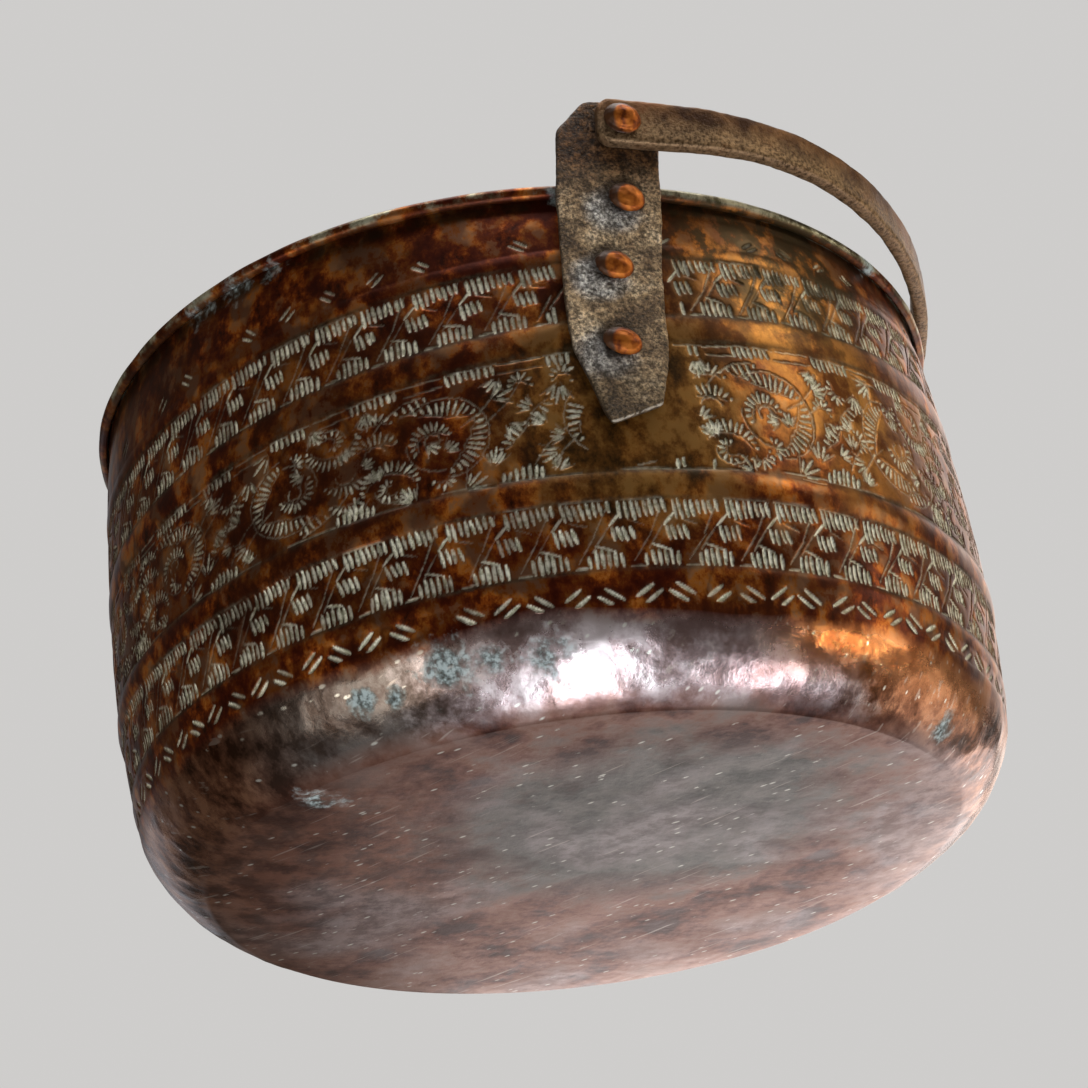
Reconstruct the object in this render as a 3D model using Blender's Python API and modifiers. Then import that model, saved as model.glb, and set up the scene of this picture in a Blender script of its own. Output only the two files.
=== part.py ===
"""A copper kettle: a raised open vessel with a wired rim, two riveted ears and a swinging bail.

Metres, +Z up. The origin is the centre of the flat base. The ears stand at -Y and +Y, and the bail
turns about the line through both of them. It is modelled folded down towards +X, on the rim.
"""
import math

import bmesh
import bpy
import numpy as np
from mathutils import Matrix

# Vessel: radii and heights of the shell's outer face
BASE_RADIUS = 0.1102
HEEL_RADIUS, HEEL_HEIGHT = 0.1278, 0.0225
BELLY_RADIUS, BELLY_HEIGHT = 0.1315, 0.066
NECK_HEIGHT = 0.144
RIM_RADIUS, RIM_HEIGHT = 0.1308, 0.151
SHEET = 0.001
LATHE_STEPS = 72
# Bezier handles of the profile, (radius, height): the curve leaves the base at a slant,
# stands upright at the belly, and draws in a little below the rim
HEEL_HANDLES = (HEEL_RADIUS, 0.0202), (0.1213, 0.0068)
LOWER_WALL_HANDLES = (BELLY_RADIUS, 0.052), (0.1296, 0.034)
UPPER_WALL_HANDLES = (0.1303, 0.128), (BELLY_RADIUS, 0.095)
HEEL_STEPS, LOWER_WALL_STEPS, UPPER_WALL_STEPS = 5, 3, 4

# Rim: the sheet is rolled outwards around a wire, and stops short of the wall
GAP = 0.0003
WIRE_RADIUS = 0.0008
WIRE_SIDES = 8
ROLL_RADIUS = WIRE_RADIUS + GAP
ROLL_END_DEG, ROLL_STEPS = -100.0, 9
ROLL_CENTRE_RADIUS = RIM_RADIUS - ROLL_RADIUS - SHEET
ROLL_CENTRE_HEIGHT = RIM_HEIGHT - ROLL_RADIUS - SHEET
NECK_RADIUS = ROLL_CENTRE_RADIUS - ROLL_RADIUS

# Ears: flat straps that stand up past the rim, leaning a little to one side
EAR_THICKNESS = 0.0026
EAR_FACE = BELLY_RADIUS + GAP
EAR_OUTER_FACE = EAR_FACE + EAR_THICKNESS
EAR_EDGE_ROUND = 0.0006
PIVOT_HEIGHT = 0.1665
# Ear outline seen from outside, from the pivot, clockwise from the left shoulder
EAR_OUTLINE = (
    (-0.0178, 0.0), (-0.0092, 0.0098), (0.0015, 0.0108), (0.0078, 0.0068), (0.0116, -0.002),
    (0.0106, -0.010), (0.0064, -0.048), (0.0040, -0.075), (0.0008, -0.089),
    (-0.0146, -0.0955), (-0.0222, -0.071), (-0.0224, -0.057), (-0.0208, -0.026),
)

# Rivets: domed outside, peened flat inside. Places are across and below the pivot.
RIVET_PLACES = {"top": (-0.0009, -0.0235), "middle": (-0.0074, -0.0458), "bottom": (-0.0085, -0.0701)}
RIVET_SHANK, RIVET_HEAD, RIVET_TAIL = 0.0022, 0.0055, 0.0040
RIVET_HEAD_HEIGHT, RIVET_TAIL_HEIGHT = 0.0030, 0.0014
PIVOT_SHANK, PIVOT_HEAD, PIVOT_TAIL = 0.0026, 0.0054, 0.0044
PIVOT_HEAD_HEIGHT = 0.0036
RIVET_SIDES = 16
DOME_STEPS = 3
HEAD_EDGE, TAIL_TAPER = 0.0004, 0.8

# Bail: a flat strip, two straight legs past the ears and half an ellipse, wider at its eyes
BAIL_THICKNESS = 0.0044
BAIL_SPAN = EAR_OUTER_FACE + GAP + BAIL_THICKNESS / 2
BAIL_LEG, BAIL_REACH = 0.020, 0.124
BAIL_WIDTH, BAIL_EYE_WIDTH, BAIL_EYE_LENGTH = 0.0122, 0.015, 0.030
BAIL_TIP, BAIL_TIP_CORNER = 0.0070, 0.0028
BAIL_STATIONS = 40
BAIL_EDGE_ROUND = 0.0009
BAIL_REST_DIP_DEG = 4.2

# Cutters pass the faces they cut by this much. The wall curves away, so it needs more.
OVERCUT, WALL_OVERCUT = 0.001, 0.006
MERGE = 0.00001
SIDES = {"front": -1, "rear": 1}


def clear_scene():
    """Empties the scene that the script runs in."""
    for item in list(bpy.data.objects):
        bpy.data.objects.remove(item)


def new_collection(name):
    """Adds a collection to the scene."""
    collection = bpy.data.collections.new(name)
    bpy.context.scene.collection.children.link(collection)
    return collection


def metal(name, colour, roughness):
    """A plain metal, for one kind of part."""
    material = bpy.data.materials.new(name)
    material.use_nodes = True
    shader = material.node_tree.nodes["Principled BSDF"]
    shader.inputs["Base Color"].default_value = (*colour, 1.0)
    shader.inputs["Roughness"].default_value = roughness
    shader.inputs["Metallic"].default_value = 1.0
    return material


def add_object(name, mesh, collection, material=None):
    """Puts a mesh in a collection as a named object."""
    thing = bpy.data.objects.new(name, mesh)
    collection.objects.link(thing)
    if material:
        mesh.materials.append(material)
    return thing


def mesh_from_bmesh(name, shape):
    """Turns a bmesh into a mesh with its faces pointing out, and frees it."""
    bmesh.ops.recalc_face_normals(shape, faces=shape.faces)
    mesh = bpy.data.meshes.new(name)
    shape.to_mesh(mesh)
    shape.free()
    return mesh


def turned(name, profile, collection, material, steps):
    """A round piece: a profile of (radius, height) points, top to bottom, turned about its Z."""
    mesh = bpy.data.meshes.new(name)
    points = [(radius, 0.0, height) for radius, height in profile]
    mesh.from_pydata(points, [(i, i + 1) for i in range(len(points) - 1)], [])
    thing = add_object(name, mesh, collection, material)
    screw = thing.modifiers.new("Turn", "SCREW")
    screw.axis = "Z"
    screw.steps = steps
    screw.render_steps = steps
    screw.use_merge_vertices = True
    screw.merge_threshold = MERGE
    screw.use_smooth_shade = True
    return thing


def bezier(start, leave, arrive, end, steps):
    """Points of a cubic curve after its start, each a (radius, height) pair."""
    for i in range(1, steps + 1):
        t = i / steps
        weights = ((1 - t) ** 3, 3 * (1 - t) ** 2 * t, 3 * (1 - t) * t**2, t**3)
        yield tuple(
            sum(w * p[axis] for w, p in zip(weights, (start, leave, arrive, end)))
            for axis in (0, 1)
        )


def vessel_profile():
    """The shell's outer face, from the lip of the roll to the middle of the base."""
    points = []
    for i in range(ROLL_STEPS + 1):
        angle = math.radians(ROLL_END_DEG + (180 - ROLL_END_DEG) * i / ROLL_STEPS)
        radius = ROLL_CENTRE_RADIUS + ROLL_RADIUS * math.cos(angle)
        points.append((radius, ROLL_CENTRE_HEIGHT + ROLL_RADIUS * math.sin(angle)))
    neck, belly = (NECK_RADIUS, NECK_HEIGHT), (BELLY_RADIUS, BELLY_HEIGHT)
    heel = (HEEL_RADIUS, HEEL_HEIGHT)
    points.append(neck)
    points += bezier(neck, *UPPER_WALL_HANDLES, belly, UPPER_WALL_STEPS)
    points += bezier(belly, *LOWER_WALL_HANDLES, heel, LOWER_WALL_STEPS)
    points += bezier(heel, *HEEL_HANDLES, (BASE_RADIUS, 0.0), HEEL_STEPS)
    points.append((0.0, 0.0))
    return points


def wall_radius(height):
    """The wall's outer radius at a height between the heel and the neck."""
    wall = [p for p in vessel_profile()[ROLL_STEPS + 1:] if p[1] >= HEEL_HEIGHT]
    wall.reverse()
    radii, heights = zip(*wall)
    return float(np.interp(height, heights, radii))


def build_vessel(collection, material):
    """The copper shell: one sheet from the base to the rolled rim, open at the top."""
    vessel = turned("vessel", vessel_profile(), collection, material, LATHE_STEPS)
    sheet = vessel.modifiers.new("Sheet", "SOLIDIFY")
    sheet.thickness = SHEET
    sheet.offset = -1.0
    sheet.use_even_offset = True
    return vessel


def build_rim_wire(collection, material):
    """The wire that the rim is rolled around, one closed ring."""
    bpy.ops.mesh.primitive_torus_add(
        major_segments=LATHE_STEPS,
        minor_segments=WIRE_SIDES,
        major_radius=ROLL_CENTRE_RADIUS,
        minor_radius=WIRE_RADIUS,
        location=(0.0, 0.0, ROLL_CENTRE_HEIGHT),
    )
    wire = bpy.context.object
    wire.name = "rim_wire"
    for owner in list(wire.users_collection):
        owner.objects.unlink(wire)
    collection.objects.link(wire)
    wire.data.materials.append(material)
    wire.data.shade_smooth()
    return wire


def outline_mesh(name, outline, thickness):
    """A flat plate in its own XY plane, thick to both sides, as a mesh with welded caps."""
    curve = bpy.data.curves.new(name, "CURVE")
    curve.dimensions = "2D"
    curve.fill_mode = "BOTH"
    curve.extrude = thickness / 2
    edge = curve.splines.new("POLY")
    edge.points.add(len(outline) - 1)
    for point, (across, up) in zip(edge.points, outline):
        point.co = (across, up, 0.0, 1.0)
    edge.use_cyclic_u = True
    guide = bpy.data.objects.new(name, curve)
    bpy.context.scene.collection.objects.link(guide)
    evaluated = guide.evaluated_get(bpy.context.evaluated_depsgraph_get())
    mesh = bpy.data.meshes.new_from_object(evaluated)
    bpy.data.objects.remove(guide)
    shape = bmesh.new()
    shape.from_mesh(mesh)
    bmesh.ops.remove_doubles(shape, verts=shape.verts, dist=MERGE)
    bmesh.ops.recalc_face_normals(shape, faces=shape.faces)
    shape.to_mesh(mesh)
    shape.free()
    return mesh


def round_edges(thing, width, segments):
    """Rounds an object's sharp edges."""
    bevel = thing.modifiers.new("Round", "BEVEL")
    bevel.width = width
    bevel.segments = segments
    bevel.limit_method = "ANGLE"
    bevel.angle_limit = math.radians(40)


def cut(thing, cutter):
    """Cuts a cutter's shape out of an object."""
    hole = thing.modifiers.new("Cut " + cutter.name, "BOOLEAN")
    hole.operation = "DIFFERENCE"
    hole.solver = "EXACT"
    hole.object = cutter


def hole_cutter(name, places, radius, near, far, collection):
    """Round bars along Y, from near to far, one at each (x, z) place, as one hidden cutter."""
    shape = bmesh.new()
    for across, height in places:
        middle = Matrix.Translation((across, (near + far) / 2, height))
        bmesh.ops.create_cone(
            shape,
            cap_ends=True,
            segments=RIVET_SIDES,
            radius1=radius,
            radius2=radius,
            depth=abs(far - near),
            matrix=middle @ Matrix.Rotation(math.radians(90), 4, "X"),
        )
    cutter = add_object(name, mesh_from_bmesh(name, shape), collection)
    cutter.hide_render = True
    cutter.display_type = "WIRE"
    return cutter


def rivet_places(side):
    """The (x, z) places of one ear's rivets in the world. The rear ear is the front one turned round."""
    return {key: (-side * across, PIVOT_HEIGHT + up) for key, (across, up) in RIVET_PLACES.items()}


def build_ear(end, side, collection, cutters, material):
    """One ear: the strap outline, with three rivet holes and the pivot hole."""
    name = end + "_ear"
    ear = add_object(name, outline_mesh(name, EAR_OUTLINE, EAR_THICKNESS), collection, material)
    ear.location = (0.0, side * (EAR_FACE + EAR_THICKNESS / 2), PIVOT_HEIGHT)
    ear.rotation_euler = (math.radians(90), 0.0, math.radians(180) if side > 0 else 0.0)
    round_edges(ear, EAR_EDGE_ROUND, 2)
    near, far = side * (EAR_FACE - OVERCUT), side * (EAR_OUTER_FACE + OVERCUT)
    rivets = hole_cutter(
        end + "_ear_rivet_holes", rivet_places(side).values(), RIVET_SHANK + GAP, near, far, cutters
    )
    pivot = hole_cutter(
        end + "_ear_pivot_hole", [(0.0, PIVOT_HEIGHT)], PIVOT_SHANK + GAP, near, far, cutters
    )
    cut(ear, rivets)
    cut(ear, pivot)
    return ear


def drill_vessel(vessel, end, side, cutters):
    """Rivet holes through the wall behind one ear."""
    holes = hole_cutter(
        end + "_wall_holes",
        rivet_places(side).values(),
        RIVET_SHANK + GAP,
        side * (NECK_RADIUS - WALL_OVERCUT),
        side * (EAR_FACE + OVERCUT),
        cutters,
    )
    cut(vessel, holes)


def rivet_profile(head, head_height, shank, grip, tail, tail_height):
    """A rivet's (radius, height) points: a domed head above 0, the shank below it, a flat tail."""
    dome = [
        (head * math.sin(angle), head_height * math.cos(angle))
        for angle in (math.radians(90) * i / DOME_STEPS for i in range(DOME_STEPS + 1))
    ]
    dome[-1] = (head, HEAD_EDGE)
    tail_end = -grip - tail_height
    return dome + [
        (head, 0.0), (shank, 0.0), (shank, -grip), (tail, -grip),
        (tail * TAIL_TAPER, tail_end), (0.0, tail_end),
    ]


def build_rivet(name, place, face, side, sizes, collection, material):
    """One rivet along Y. Its head sits a gap outside the face at the given distance from the axis."""
    across, height = place
    rivet = turned(name, rivet_profile(*sizes), collection, material, RIVET_SIDES)
    rivet.location = (across, side * (face + GAP), height)
    rivet.rotation_euler = (math.radians(-90 * side), 0.0, 0.0)
    return rivet


def build_ear_rivets(end, side, collection, material):
    """Three rivets through an ear and the wall, each long enough for the gap it bridges."""
    for key, (across, height) in rivet_places(side).items():
        inner = wall_radius(height) - SHEET
        seat = math.sqrt(inner**2 - (abs(across) + RIVET_TAIL) ** 2) - 2 * GAP
        grip = EAR_OUTER_FACE + GAP - seat
        sizes = (RIVET_HEAD, RIVET_HEAD_HEIGHT, RIVET_SHANK, grip, RIVET_TAIL, RIVET_TAIL_HEIGHT)
        name = f"{end}_{key}_rivet"
        build_rivet(name, (across, height), EAR_OUTER_FACE, side, sizes, collection, material)


def build_pivot_rivet(end, side, collection, material):
    """The rivet that the bail's eye turns on, through the bail and the ear."""
    face = BAIL_SPAN + BAIL_THICKNESS / 2
    grip = face + GAP - (EAR_FACE - GAP)
    sizes = (PIVOT_HEAD, PIVOT_HEAD_HEIGHT, PIVOT_SHANK, grip, PIVOT_TAIL, RIVET_TAIL_HEIGHT)
    place = (0.0, PIVOT_HEIGHT)
    build_rivet(end + "_pivot_rivet", place, face, side, sizes, collection, material)


def bail_width(x):
    """The strip's width at a distance from the hinge: it swells at the eyes."""
    return BAIL_WIDTH + (BAIL_EYE_WIDTH - BAIL_WIDTH) * math.exp(-((x / BAIL_EYE_LENGTH) ** 2))


def bail_sections():
    """Sections along the bail: middle point, normal and width, in the bail's own XY plane."""
    tip_width = BAIL_EYE_WIDTH - 2 * BAIL_TIP_CORNER
    leg = [(-BAIL_TIP, tip_width)]
    leg += [(x, bail_width(x)) for x in (BAIL_TIP_CORNER - BAIL_TIP, BAIL_LEG / 2)]
    sections = [(x, -BAIL_SPAN, 0.0, -1.0, width) for x, width in leg]
    depth = BAIL_REACH - BAIL_LEG
    for i in range(BAIL_STATIONS + 1):
        angle = math.pi * i / BAIL_STATIONS
        x, y = BAIL_LEG + depth * math.sin(angle), -BAIL_SPAN * math.cos(angle)
        normal_x, normal_y = BAIL_SPAN * math.sin(angle), -depth * math.cos(angle)
        length = math.hypot(normal_x, normal_y)
        sections.append((x, y, normal_x / length, normal_y / length, bail_width(x)))
    sections += [(x, BAIL_SPAN, 0.0, 1.0, width) for x, width in reversed(leg)]
    return sections


def build_bail(collection, cutters, material):
    """The bail: a loft of flat sections, with an eye for each pivot rivet. Its origin is its hinge."""
    shape = bmesh.new()
    rings = []
    for x, y, normal_x, normal_y, width in bail_sections():
        corners = ((-1, -1), (1, -1), (1, 1), (-1, 1))
        half = BAIL_THICKNESS / 2
        rings.append([
            shape.verts.new((x + out * half * normal_x, y + out * half * normal_y, up * width / 2))
            for out, up in corners
        ])
    for ring, following in zip(rings, rings[1:]):
        for i in range(4):
            j = (i + 1) % 4
            shape.faces.new((ring[i], ring[j], following[j], following[i]))
    shape.faces.new(rings[0])
    shape.faces.new(rings[-1])
    bail = add_object("bail", mesh_from_bmesh("bail", shape), collection, material)
    bail.location = (0.0, 0.0, PIVOT_HEIGHT)
    bail.rotation_euler = (0.0, math.radians(BAIL_REST_DIP_DEG), 0.0)
    round_edges(bail, BAIL_EDGE_ROUND, 2)
    for end, side in SIDES.items():
        near, far = side * (BAIL_SPAN - BAIL_THICKNESS), side * (BAIL_SPAN + BAIL_THICKNESS)
        eye = hole_cutter(
            end + "_bail_eye", [(0.0, PIVOT_HEIGHT)], PIVOT_SHANK + GAP, near, far, cutters
        )
        cut(bail, eye)
    return bail


def main():
    clear_scene()
    kettle = new_collection("copper_kettle")
    cutters = new_collection("cutters")
    copper = metal("copper_shell", (0.42, 0.16, 0.08), 0.38)
    rivet_copper = metal("rivet_copper", (0.62, 0.23, 0.08), 0.42)
    ear_iron = metal("ear_iron", (0.24, 0.19, 0.14), 0.72)
    bail_iron = metal("bail_iron", (0.20, 0.13, 0.09), 0.6)
    wire_iron = metal("wire_iron", (0.18, 0.16, 0.15), 0.6)

    vessel = build_vessel(kettle, copper)
    build_rim_wire(kettle, wire_iron)
    for end, side in SIDES.items():
        drill_vessel(vessel, end, side, cutters)
        build_ear(end, side, kettle, cutters, ear_iron)
        build_ear_rivets(end, side, kettle, rivet_copper)
        build_pivot_rivet(end, side, kettle, rivet_copper)
    build_bail(kettle, cutters, bail_iron)


main()
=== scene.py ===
"""The looks of the copper kettle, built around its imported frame.

The frame is in metres, +Z up, with the front ear at -Y. Azimuths here start at the front ear and grow
towards +X. Surface work on the vessel is done in millimetres, on a grid of rings and columns.
"""

import math

import bpy
import numpy as np
from mathutils import Matrix, Vector, noise


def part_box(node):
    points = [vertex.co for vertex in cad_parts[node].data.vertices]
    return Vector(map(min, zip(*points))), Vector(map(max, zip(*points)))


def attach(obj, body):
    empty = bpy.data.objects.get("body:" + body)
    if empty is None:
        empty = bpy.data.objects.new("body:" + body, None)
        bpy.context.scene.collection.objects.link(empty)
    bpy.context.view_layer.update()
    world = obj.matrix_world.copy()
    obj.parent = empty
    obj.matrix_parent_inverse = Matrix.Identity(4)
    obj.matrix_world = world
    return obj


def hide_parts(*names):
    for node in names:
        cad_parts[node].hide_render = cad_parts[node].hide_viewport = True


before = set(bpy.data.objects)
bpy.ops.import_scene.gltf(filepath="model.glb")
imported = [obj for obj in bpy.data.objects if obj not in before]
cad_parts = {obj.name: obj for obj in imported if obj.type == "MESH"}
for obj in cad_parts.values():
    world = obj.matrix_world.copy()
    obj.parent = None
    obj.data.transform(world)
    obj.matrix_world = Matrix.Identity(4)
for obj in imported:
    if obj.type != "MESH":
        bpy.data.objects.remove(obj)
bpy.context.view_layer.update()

MM = 0.001
SEED = 11
rng = np.random.default_rng(SEED)

# The vessel's outer face in millimetres, as (radius, height) points and Bezier handles
BELLY_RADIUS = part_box("vessel")[1][0] / MM
RIM_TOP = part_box("vessel")[1][2] / MM
RIM_RADIUS = 130.8
BASE_EDGE, HEEL_TOP = (110.2, 0.0), (127.8, 22.5)
BELLY, NECK = (BELLY_RADIUS, 66.0), (127.6, 144.0)
HEEL_HANDLES = (121.3, 6.8), (127.8, 20.2)
LOWER_WALL_HANDLES = (129.6, 34.0), (BELLY_RADIUS, 52.0)
UPPER_WALL_HANDLES = (BELLY_RADIUS, 95.0), (130.3, 128.0)
SHEET = 1.0
WIRE_RADIUS, ROLL_RADIUS = 0.8, 1.1
ROLL_CENTRE = (RIM_RADIUS - ROLL_RADIUS - SHEET, RIM_TOP - ROLL_RADIUS - SHEET)
ROLL_END_DEG = -100.0

# The hand-raised wall leans, and the ornament bands above the middle climb towards +X
LEAN = -0.03
TILT_HEIGHTS = (45.0, 51.0, 59.5, 98.0, 126.0, 150.0)
TILT_SIZES = (0.0, 1.0, 2.1, 9.5, 9.2, 2.0)

# Rings and columns of the chased surface. Plain parts keep only every sixth column
COLUMNS = 2400
COARSE = 6
ROW_STEP = 0.4
WALL_MEAN_RADIUS = 130.5
AROUND = 2 * math.pi * WALL_MEAN_RADIUS

# Ornament bands: lower and upper edge in millimetres. A ridge has its height as a
# third number, and a seam of painted shade has its height and width
LOWER_BRAID = (32.3, 50.9)
UPPER_BRAID = (107.1, 126.0)
FRIEZE = (59.5, 97.9)
RIDGES = ((27.6, 32.0, 0.25), (51.2, 59.3, 0.65), (98.2, 106.8, 0.35), (126.4, 131.0, 0.2))
SEAM_SHADES = ((31.9, 0.7), (51.4, 0.6), (59.3, 1.1), (98.4, 0.8), (106.9, 1.0), (126.6, 0.7))
ZIGZAG_HEIGHT, SPARSE_HEIGHT = 24.8, 133.6
BRAID_UNITS, FRIEZE_UNITS, FRIEZE_EDGE_UNITS = 56, 18, 31

# The plain ground at each ear: its middle and half width round the wall, and where it starts
EAR_BLANK_CENTRE, EAR_BLANK_HALF, EAR_BLANK_FROM = -3.0, 16.5, 61.5

# Forged pieces: the bail's dip at rest in degrees, its half width and a rivet dome's sizes in metres,
# and how many blows have flattened the dome
BAIL_REST_DIP = 4.2
BAIL_HALF_WIDTH = 0.0061
DOME_HEIGHT, DOME_REACH, DOME_SPREAD = 0.0036, 0.0042, 0.005
HAMMER_BLOWS = 7

# The stage: how far the floor lies below the base, and the height that the lamps aim at, in metres
FLOOR_DROP = 0.0009
LAMP_TARGET_HEIGHT = 0.07

# The camera, in degrees, metres and millimetres
CAMERA_AZIMUTH, CAMERA_PITCH, CAMERA_ROLL = -15.47, 27.68, 7.75
CAMERA_RANGE, CAMERA_HEIGHT = 0.715, -0.266
CAMERA_LENS, CAMERA_SENSOR = 85.93, 36.0


# -------- helpers


def bezier(start, handles, end, count):
    """Points of a cubic curve, start and end included, as an array of (radius, height)."""
    t = np.linspace(0, 1, count)[:, None]
    a, b, c, d = (np.array(p) for p in (start, *handles, end))
    return (1 - t) ** 3 * a + 3 * (1 - t) ** 2 * t * b + 3 * (1 - t) * t**2 * c + t**3 * d


HEEL_CURVE = bezier(BASE_EDGE, HEEL_HANDLES, HEEL_TOP, 32)
WALL_CURVE = np.concatenate([
    bezier(HEEL_TOP, LOWER_WALL_HANDLES, BELLY, 60),
    bezier(BELLY, UPPER_WALL_HANDLES, NECK, 80)[1:],
])


def value_noise(u, v, wrap, seed):
    """Smooth noise from -1 to 1 in cell units. It repeats after wrap cells along u."""
    table = np.random.default_rng(seed).uniform(-1, 1, (wrap, 512))
    i, j = np.floor(u).astype(int), np.floor(v).astype(int)
    fu, fv = u - i, v - j
    fu, fv = fu * fu * (3 - 2 * fu), fv * fv * (3 - 2 * fv)
    a, b = table[i % wrap, j % 512], table[(i + 1) % wrap, j % 512]
    c, d = table[i % wrap, (j + 1) % 512], table[(i + 1) % wrap, (j + 1) % 512]
    return (a * (1 - fu) + b * fu) * (1 - fv) + (c * (1 - fu) + d * fu) * fv


def hammer_marks(u, v, wrap, seed):
    """Shallow dimples in cell units: 0 in the middle of a mark and up to 1 on the ridges."""
    table = np.random.default_rng(seed).uniform(0.12, 0.88, (wrap, 256, 2))
    i, j = np.floor(u).astype(int), np.floor(v).astype(int)
    nearest = np.full(u.shape, 9.0)
    for di in (-1, 0, 1):
        for dj in (-1, 0, 1):
            spot = table[(i + di) % wrap, (j + dj) % 256]
            du, dv = i + di + spot[..., 0] - u, j + dj + spot[..., 1] - v
            nearest = np.minimum(nearest, du * du + dv * dv)
    return np.minimum(nearest, 1.0)


def smooth(low, high, value):
    """0 below low, 1 above high, and a smooth step between."""
    t = np.clip((value - low) / (high - low), 0, 1)
    return t * t * (3 - 2 * t)


def add_to_scene(data):
    """Puts a mesh, a lamp or a camera into the scene, under its own name."""
    thing = bpy.data.objects.new(data.name, data)
    bpy.context.scene.collection.objects.link(thing)
    return thing


def add_attribute(mesh, name, values):
    """A number on each vertex, for the materials."""
    layer = mesh.attributes.new(name, "FLOAT", "POINT")
    layer.data.foreach_set("value", np.asarray(values, np.float32))


# -------- chased ornament


class ChasedWall:
    """Tool marks on the unrolled wall: how deep each point is cut, and how pale its patina is."""

    def __init__(self, heights):
        self.heights = heights
        self.step = AROUND / COLUMNS
        self.cut = np.zeros((len(heights), COLUMNS), np.float32)
        self.pale = np.zeros((len(heights), COLUMNS), np.float32)

    def mark(self, s0, z0, s1, z1, width, depth, tone):
        """One chisel mark from (s0, z0) to (s1, z1), widest in its middle."""
        reach = width / 2 + self.step
        rows = slice(*np.searchsorted(self.heights, (min(z0, z1) - reach, max(z0, z1) + reach)))
        first, last = (min(s0, s1) - reach) / self.step, (max(s0, s1) + reach) / self.step
        columns = np.arange(math.floor(first), math.ceil(last) + 1)
        s, z = columns[None, :] * self.step, self.heights[rows][:, None]
        along_s, along_z = s1 - s0, z1 - z0
        t = ((s - s0) * along_s + (z - z0) * along_z) / (along_s**2 + along_z**2 + 1e-9)
        t = np.clip(t, 0, 1)
        apart = (s - s0 - t * along_s) ** 2 + (z - z0 - t * along_z) ** 2
        half = width / 2 * (1 - 0.4 * (2 * t - 1) ** 2)
        groove = np.clip(1 - apart / half**2, 0, 1)
        around = columns % COLUMNS
        self.cut[rows, around] = np.maximum(self.cut[rows, around], depth * np.sqrt(groove))
        self.pale[rows, around] = np.maximum(self.pale[rows, around], tone * smooth(0.1, 0.75, groove))


def tilt_lift(s, zeta):
    """How far a band climbs at a place round the wall."""
    return np.interp(zeta, TILT_HEIGHTS, TILT_SIZES) * np.sin(s / WALL_MEAN_RADIUS)


def behind_an_ear(s, zeta):
    """True on the plain ground beside and behind the ears."""
    from_ear = (s - EAR_BLANK_CENTRE + AROUND / 4) % (AROUND / 2) - AROUND / 4
    return zeta > EAR_BLANK_FROM and abs(from_ear) < EAR_BLANK_HALF


def chisel(wall, s0, z0, s1, z1, width=1.36, depth=0.52, tone=1.0):
    """A hand-held mark: never twice the same, and left out beside the ears."""
    if behind_an_ear((s0 + s1) / 2, (z0 + z1) / 2):
        return
    slip = rng.normal(0, 0.13, 4)
    force = rng.uniform(0.55, 1.12)
    lift0, lift1 = tilt_lift(s0, z0), tilt_lift(s1, z1)
    wall.mark(
        s0 + slip[0], z0 + lift0 + slip[1], s1 + slip[2], z1 + lift1 + slip[3],
        width * rng.uniform(0.85, 1.15), depth * force, min(1.0, tone * force),
    )


def thin_line(wall, points, tone=0.55, width=0.62):
    """A traced line through the points, as a chain of short marks."""
    for (s0, z0), (s1, z1) in zip(points, points[1:]):
        chisel(wall, s0, z0, s1, z1, width, 0.42, 0.62 * tone)


def hatch(wall, s, z, count, pitch, lengths, slant, up):
    """A row of marks side by side from (s, z), each of its own length, leaning by slant."""
    for i in range(count):
        length = lengths(i / max(count - 1, 1)) * rng.uniform(0.88, 1.12)
        foot = s + i * pitch
        chisel(wall, foot, z, foot + slant, z + up * length)


def braid_band(wall, low, high, units):
    """A braid: hatched wedges along both edges, small hatched lozenges between, and slanting lines."""
    pitch, tall = AROUND / units, high - low
    middle = low + 0.5 * tall
    for k in range(units):
        s = k * pitch + rng.normal(0, 0.25)
        hatch(wall, s + 0.7, high - 0.4, 8, 1.66, lambda t: 4.9 - 1.9 * t, 0.55, -1)
        thin_line(wall, [(s + 2.6, high - 5.4), (s + 6.8, high - 7.0)], 0.35)
        hatch(wall, s + 6.2, low + 0.4, 6, 1.68, lambda t: 2.9 + 1.5 * math.sin(2.6 * t + 0.3), -0.1, 1)
        chisel(wall, s + 8.2, low + 6.2, s + 12.6, low + 4.6, 0.95, 0.4, 0.75)
        hatch(wall, s - 2.0, middle + 1.7, 4, 1.62, lambda t: 3.9 - 0.5 * t, 0.75, -1)
        chisel(wall, s - 2.4, middle + 2.1, s + 0.7, middle + 5.4, 1.0, 0.4, 1.0)
        thin_line(wall, [(s - 11.6, low + 1.6), (s - 6.5, middle - 0.4), (s - 1.6, high - 0.2)])
        thin_line(wall, [(s - 7.6, low + 4.6), (s - 2.9, middle + 1.7)], 0.45)
        thin_line(wall, [(s + 2.0, low + 0.2), (s + 5.6, low + 0.4)], 0.9, 0.8)
        if rng.random() < 0.5:
            thin_line(wall, [(s + 0.4, high + 0.1), (s + 12.0, high + 0.1)], 0.45)


def zigzag_row(wall, zeta, units, size, keep):
    """Pairs of short strokes that lean right and left by turns."""
    pitch = AROUND / units
    for k in range(2 * units):
        if rng.random() > keep:
            continue
        flip = 1 if k % 2 else -1
        s, z = k * pitch / 2 + rng.normal(0, 0.35), zeta + rng.normal(0, 0.25)
        for n in (-0.5, 0.5):
            a, b = s + flip * 2.1 * size * n, z - 1.9 * size * n
            run, rise = 2.2 * size, flip * 1.45 * size
            chisel(wall, a - run, b - rise, a + run, b + rise, 1.3 * size, 0.5)


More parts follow.
